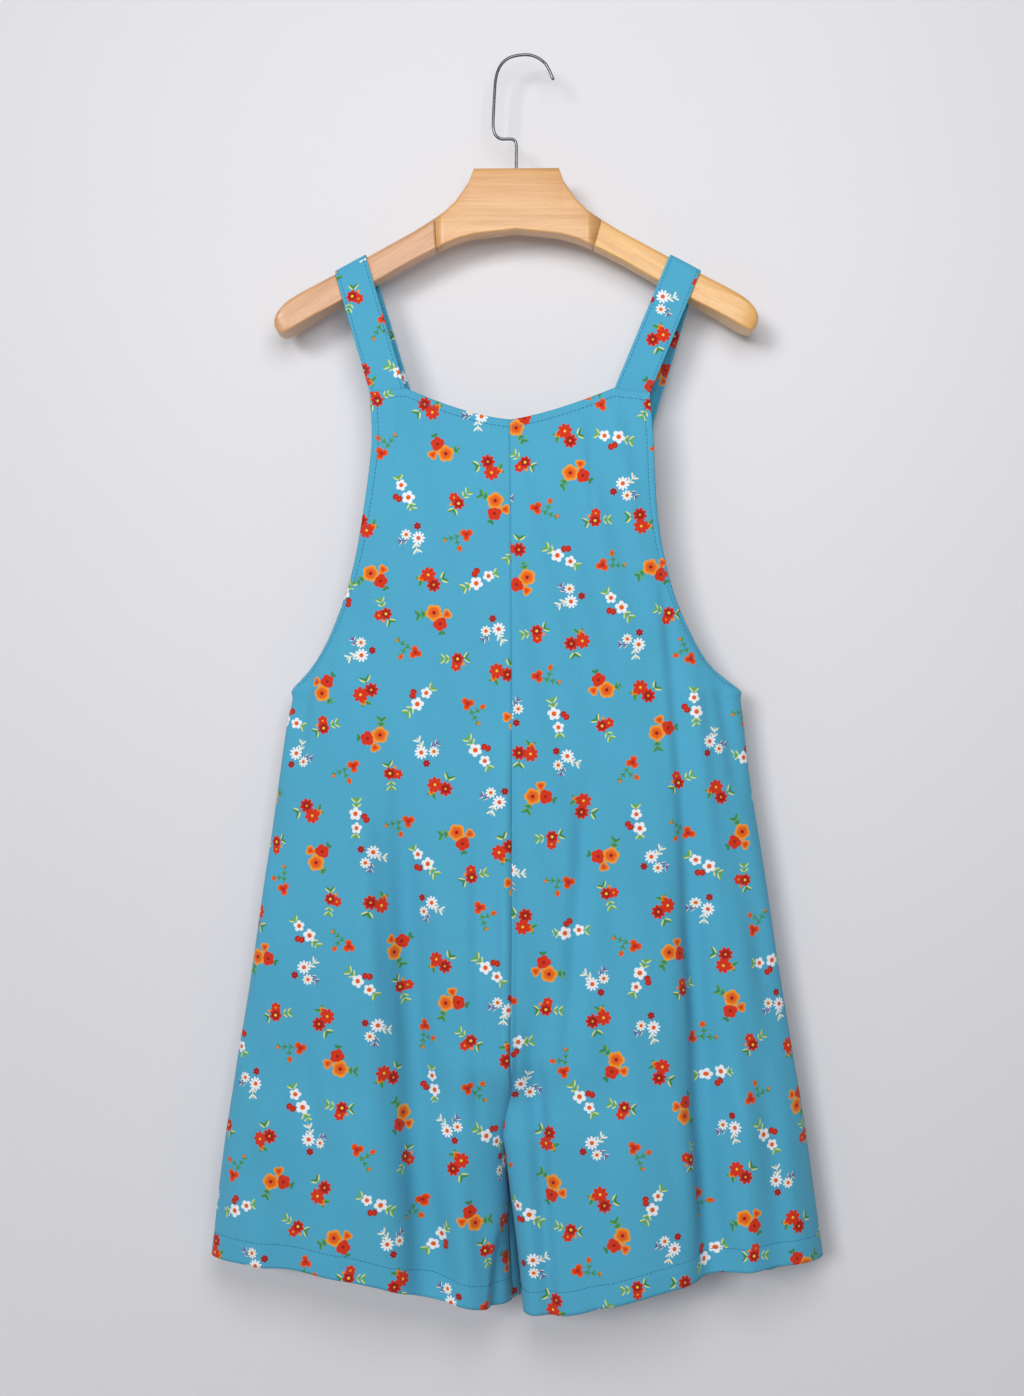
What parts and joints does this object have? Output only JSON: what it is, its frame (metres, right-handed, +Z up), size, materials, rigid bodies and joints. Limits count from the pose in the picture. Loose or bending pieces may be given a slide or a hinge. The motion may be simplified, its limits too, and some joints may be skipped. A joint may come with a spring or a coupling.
{
  "type": "sleeveless bib jumpsuit with short legs, hung on a wooden hanger",
  "caption": "Sleeveless short-legged bib jumpsuit in printed cloth, hanging by its wide straps from a wooden clothes hanger with a steel hook.",
  "frame": {"origin": "underside of the hanger hook's crest, where a rail carries it", "axes": "+X to the viewer's right, the front faces -Y, +Z up"},
  "size_m": [0.5347, 0.0749, 1.0931],
  "materials": {
    "printed_cloth": "plain-woven viscose, soft and matt, turquoise blue with small scattered flowers",
    "beech_wood": "light beech under thin satin lacquer",
    "steel_wire": "polished plated steel wire"
  },
  "bodies": {
    "root": {"front_left": "printed_cloth", "front_right": "printed_cloth", "back_left": "printed_cloth", "back_right": "printed_cloth", "strap_left": "printed_cloth", "strap_right": "printed_cloth", "hanger_block": "beech_wood", "hanger_arm_left": "beech_wood", "hanger_arm_right": "beech_wood", "hanger_hook": "steel_wire"}
  },
  "joints": []
}
